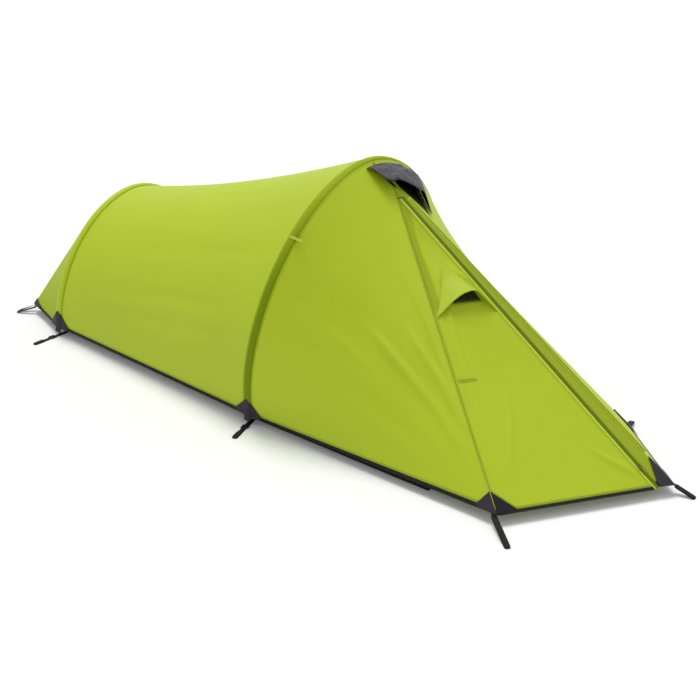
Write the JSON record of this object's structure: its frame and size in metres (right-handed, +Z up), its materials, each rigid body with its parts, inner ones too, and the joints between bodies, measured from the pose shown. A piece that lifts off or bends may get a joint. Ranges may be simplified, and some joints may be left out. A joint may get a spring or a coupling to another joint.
{
  "type": "ultralight tent",
  "caption": "Low hoop tent for one sleeper: two pole arches under a taut fly, a porch with a zipped door and hooded vents, and an inner tent with a tub floor and mesh door",
  "frame": {"origin": "on the ground, on the centre line, between the feet of the front hoop", "axes": "+X along the length, from the rear end towards the tip of the porch; +Y away from the zipped door; +Z up"},
  "size_m": [3.0368, 1.3012, 0.9],
  "materials": {
    "fly_cloth": "lime green coated nylon, slightly glossy, with soft tension folds",
    "hood_cloth": "dark grey nylon",
    "patch_cloth": "charcoal doubled nylon, matt",
    "webbing": "black woven webbing",
    "loop_cord": "green cord",
    "mesh": "black insect mesh",
    "inner_cloth": "pale grey breathable nylon",
    "floor_cloth": "black coated nylon",
    "pole": "anodised tube",
    "elastic": "braided shock cord",
    "acetal": "black acetal",
    "zip": "dark olive coil chain on its tape"
  },
  "bodies": {
    "tent": {"far_porch_loop": "webbing", "far_porch_panel": "fly_cloth", "far_porch_patch": "patch_cloth", "front_far_foot_buckle": "acetal", "front_far_foot_patch": "patch_cloth", "front_far_foot_strap": "webbing", "front_near_foot_buckle": "acetal", "front_near_foot_patch": "patch_cloth", "front_near_foot_strap": "webbing", "front_pole_section_1": "pole", "front_pole_section_2": "pole", "front_pole_section_3": "pole", "front_pole_section_4": "pole", "front_pole_section_5": "pole", "front_pole_shock_cord": "elastic", "front_pole_sleeve": "fly_cloth", "front_pole_tip_far": "acetal", "front_pole_tip_near": "acetal", "front_porch_panel": "fly_cloth", "hem_tape": "patch_cloth", "hood": "hood_cloth", "inner_canopy": "inner_cloth", "inner_floor": "floor_cloth", "near_porch_loop": "webbing", "near_porch_panel": "fly_cloth", "near_porch_patch": "patch_cloth", "rear_far_foot_buckle": "acetal", "rear_far_foot_patch": "patch_cloth", "rear_far_foot_strap": "webbing", "rear_far_loop": "webbing", "rear_far_patch": "patch_cloth", "rear_fly_panel": "fly_cloth", "rear_near_foot_buckle": "acetal", "rear_near_foot_patch": "patch_cloth", "rear_near_foot_strap": "webbing", "rear_near_loop": "webbing", "rear_near_patch": "patch_cloth", "rear_pole_section_1": "pole", "rear_pole_section_2": "pole", "rear_pole_section_3": "pole", "rear_pole_shock_cord": "elastic", "rear_pole_sleeve": "fly_cloth", "rear_pole_tip_far": "acetal", "rear_pole_tip_near": "acetal", "sleeve_guy_loop": "loop_cord", "storm_flap": "fly_cloth", "tip_loop": "webbing", "tip_patch": "patch_cloth", "top_vent_mesh": "mesh", "tunnel_fly": "fly_cloth", "zip_chain": "zip"},
    "door": {"porch_door": "fly_cloth", "door_vent_mesh": "mesh", "awning": "fly_cloth", "door_hem_tape": "patch_cloth", "door_zip_tape": "fly_cloth", "door_tie_loop": "loop_cord"},
    "slider": {"zip_slider": "acetal"},
    "puller": {"zip_puller": "acetal"},
    "inner_mesh_door": {"inner_door": "mesh"}
  },
  "joints": [
    {"name": "door_hinge", "type": "hinge", "parent": "tent", "child": "door", "pos_m": [1.1325, -0.542, 0.035], "axis": [0.6753, -0.4144, -0.6101], "range_deg": [0, 100]},
    {"name": "zip_slide", "type": "slide", "parent": "tent", "child": "slider", "axis": [-0.8277, 0.029, 0.5605], "range_m": [0, 1.165]},
    {"name": "puller_hinge", "type": "hinge", "parent": "slider", "child": "puller", "pos_m": [1.3493, -0.05112, 0.09029], "axis": [-0.1967, -0.9503, -0.2412], "range_deg": [0, 150]},
    {"name": "inner_door_hinge", "type": "hinge", "parent": "tent", "child": "inner_mesh_door", "pos_m": [0.74704, -0.3933, 0.10565], "axis": [0.0241, -0.9995, -0.0196], "range_deg": [0, 45]}
  ]
}
